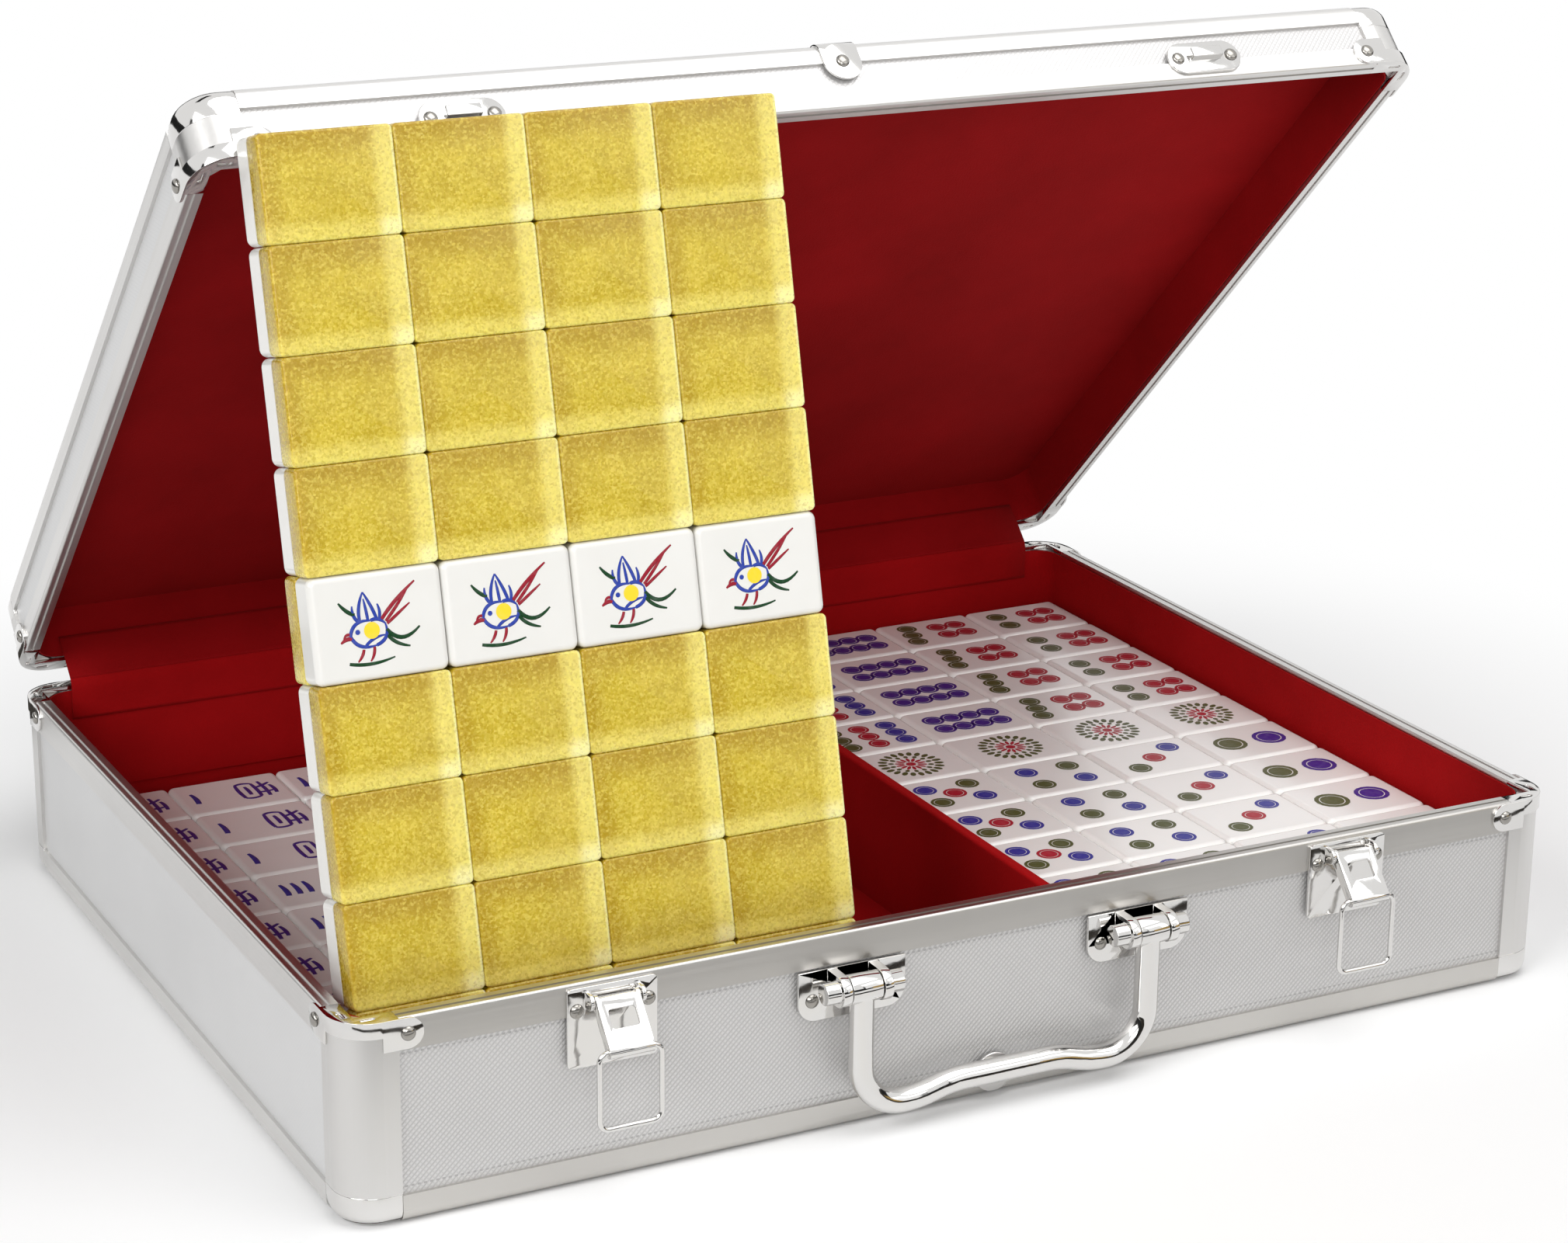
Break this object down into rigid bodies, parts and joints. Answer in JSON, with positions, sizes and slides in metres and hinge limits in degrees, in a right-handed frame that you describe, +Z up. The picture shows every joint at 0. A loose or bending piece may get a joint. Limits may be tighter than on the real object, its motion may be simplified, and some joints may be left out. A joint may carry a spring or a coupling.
{
  "type": "tile set carrying case",
  "caption": "Aluminium-framed carrying case for a set of playing tiles, standing open with one block of tiles propped against its lid.",
  "frame": {"origin": "centre of the face that the base rests on", "axes": "+X to the right along the front, -Y towards the latches and handle, +Z up"},
  "size_m": [0.4238, 0.353, 0.3066],
  "materials": {
    "frame_aluminium": "satin anodised",
    "post_aluminium": "smooth satin",
    "case_panel": "silver skin with a fine embossed cross-hatch",
    "hardware_chrome": "bright plated",
    "red_cloth": "flocked cloth",
    "tile_face": "polished white",
    "tile_back": "polished gold"
  },
  "bodies": {
    "base": {"base_bottom_caps": "hardware_chrome", "base_bottom_panel": "case_panel", "base_bottom_rail_back": "frame_aluminium", "base_bottom_rail_front": "frame_aluminium", "base_bottom_rail_left": "frame_aluminium", "base_bottom_rail_right": "frame_aluminium", "base_corner_posts": "post_aluminium", "base_front_clip": "hardware_chrome", "base_hinge_leaves": "hardware_chrome", "base_lining": "red_cloth", "base_panel_back": "case_panel", "base_panel_front": "case_panel", "base_panel_left": "case_panel", "base_panel_right": "case_panel", "base_rim_corners": "hardware_chrome", "base_rim_rail_back": "frame_aluminium", "base_rim_rail_front": "frame_aluminium", "base_rim_rail_left": "frame_aluminium", "base_rim_rail_right": "frame_aluminium", "base_rivets": "hardware_chrome", "divider_left": "red_cloth", "divider_right": "red_cloth", "handle_mounts": "hardware_chrome", "latch_plate_left": "hardware_chrome", "latch_plate_right": "hardware_chrome", "tile_backs_left": "tile_back", "tile_backs_right": "tile_back", "tile_faces_left": "tile_face", "tile_faces_right": "tile_face"},
    "hinge_pins": {"hinge_pins": "hardware_chrome"},
    "lid": {"lid_catch_left": "hardware_chrome", "lid_catch_right": "hardware_chrome", "lid_corner_posts": "post_aluminium", "lid_front_clip": "hardware_chrome", "lid_hinge_leaves": "hardware_chrome", "lid_lining": "red_cloth", "lid_panel_back": "case_panel", "lid_panel_front": "case_panel", "lid_panel_left": "case_panel", "lid_panel_right": "case_panel", "lid_rim_corners": "hardware_chrome", "lid_rim_rail_back": "frame_aluminium", "lid_rim_rail_front": "frame_aluminium", "lid_rim_rail_left": "frame_aluminium", "lid_rim_rail_right": "frame_aluminium", "lid_rivets": "hardware_chrome", "lid_top_caps": "hardware_chrome", "lid_top_panel": "case_panel", "lid_top_rail_back": "frame_aluminium", "lid_top_rail_front": "frame_aluminium", "lid_top_rail_left": "frame_aluminium", "lid_top_rail_right": "frame_aluminium"},
    "tile_block": {"tile_faces_block": "tile_face", "tile_backs_block": "tile_back"},
    "latch_lever_left": {"latch_lever_left": "hardware_chrome"},
    "latch_lever_right": {"latch_lever_right": "hardware_chrome"},
    "latch_bail_left": {"latch_bail_left": "hardware_chrome"},
    "latch_bail_right": {"latch_bail_right": "hardware_chrome"},
    "handle": {"handle": "hardware_chrome"}
  },
  "joints": [
    {"name": "lid_close", "type": "hinge", "parent": "base", "child": "hinge_pins", "pos_m": [0, 0.165, 0.0595], "axis": [1, 0, 0], "range_deg": [0, 44.5]},
    {"name": "lid_open", "type": "hinge", "parent": "hinge_pins", "child": "lid", "pos_m": [0, 0.165, 0.0595], "axis": [-1, 0, 0], "range_deg": [0, 50]},
    {"name": "tile_block_lift", "type": "slide", "parent": "base", "child": "tile_block", "axis": [0, -0.1045, 0.9945], "range_m": [0, 0.405]},
    {"name": "latch_lever_left_swing", "type": "hinge", "parent": "base", "child": "latch_lever_left", "pos_m": [-0.128, -0.1618, 0.059], "axis": [-1, 0, 0], "range_deg": [-15, 50]},
    {"name": "latch_bail_left_swing", "type": "hinge", "parent": "latch_lever_left", "child": "latch_bail_left", "pos_m": [-0.128, -0.17176, 0.04713], "axis": [-1, 0, 0], "range_deg": [-5, 150]},
    {"name": "latch_lever_right_swing", "type": "hinge", "parent": "base", "child": "latch_lever_right", "pos_m": [0.128, -0.1618, 0.059], "axis": [-1, 0, 0], "range_deg": [-15, 50]},
    {"name": "latch_bail_right_swing", "type": "hinge", "parent": "latch_lever_right", "child": "latch_bail_right", "pos_m": [0.128, -0.17176, 0.04713], "axis": [-1, 0, 0], "range_deg": [-5, 150]},
    {"name": "handle_swing", "type": "hinge", "parent": "base", "child": "handle", "pos_m": [0, -0.1657, 0.0486], "axis": [-1, 0, 0], "range_deg": [0, 95]}
  ],
  "couplings": [
    {"joint": "tile_block_lift", "follows": "lid_close", "m_per_rad": 0.52}
  ]
}
